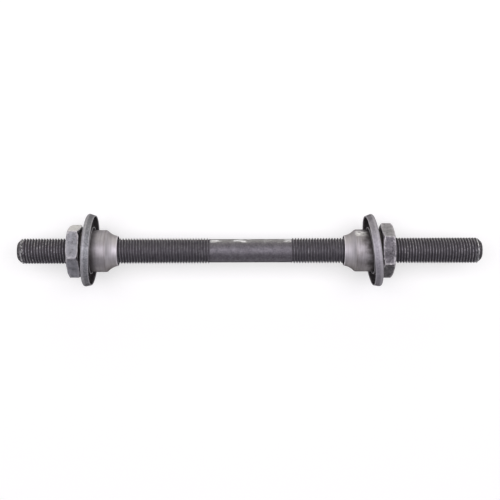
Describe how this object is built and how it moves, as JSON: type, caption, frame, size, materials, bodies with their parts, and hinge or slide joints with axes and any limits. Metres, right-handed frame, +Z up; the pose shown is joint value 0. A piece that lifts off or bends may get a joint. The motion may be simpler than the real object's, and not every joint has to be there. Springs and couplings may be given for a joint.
{
  "type": "bicycle hub axle",
  "caption": "Solid threaded bicycle hub axle with a ball-race cone, a loose pressed dust cap and a hexagon lock nut at each end, to carry a hub in a frame's dropouts.",
  "frame": {"origin": "the middle of the axle's length, on the axle's own axis", "axes": "+X along the axle towards its longer free thread, +Z up when it lies on its two dust caps"},
  "size_m": [0.175, 0.0276, 0.0275],
  "materials": {
    "blackened_steel": "rolled and blackened, oily",
    "turned_steel": "turned and hardened, satin",
    "pressed_sheet_steel": "pressed sheet, dull zinc",
    "plated_steel": "dull zinc, scuffed"
  },
  "bodies": {
    "axle": {"axle": "blackened_steel"},
    "left_dust_cap": {"left_dust_cap": "pressed_sheet_steel"},
    "left_cone": {"left_cone": "turned_steel"},
    "left_lock_nut": {"left_lock_nut": "plated_steel"},
    "right_dust_cap": {"right_dust_cap": "pressed_sheet_steel"},
    "right_cone": {"right_cone": "turned_steel"},
    "right_lock_nut": {"right_lock_nut": "plated_steel"}
  },
  "joints": [
    {"name": "left_cone_travel", "type": "slide", "parent": "axle", "child": "left_dust_cap", "axis": [1, 0, 0], "range_m": [0, 0.03389]},
    {"name": "left_cone_turn", "type": "hinge", "parent": "left_dust_cap", "child": "left_cone", "pos_m": [-0.0564, 0, 0], "axis": [1, 0, 0], "range_deg": [0, 11520]},
    {"name": "left_nut_travel", "type": "slide", "parent": "axle", "child": "left_lock_nut", "axis": [-1, 0, 0], "range_m": [0, 0.0177]},
    {"name": "right_cone_travel", "type": "slide", "parent": "axle", "child": "right_dust_cap", "axis": [-1, 0, 0], "range_m": [0, 0.01907]},
    {"name": "right_cone_turn", "type": "hinge", "parent": "right_dust_cap", "child": "right_cone", "pos_m": [0.0423, 0, 0], "axis": [-1, 0, 0], "range_deg": [0, 6480]},
    {"name": "right_nut_travel", "type": "slide", "parent": "axle", "child": "right_lock_nut", "axis": [1, 0, 0], "range_m": [0, 0.0318]}
  ],
  "couplings": [
    {"joint": "left_cone_travel", "follows": "left_cone_turn", "m_per_rad": 0.00016844},
    {"joint": "right_cone_travel", "follows": "right_cone_turn", "m_per_rad": 0.00016844}
  ]
}
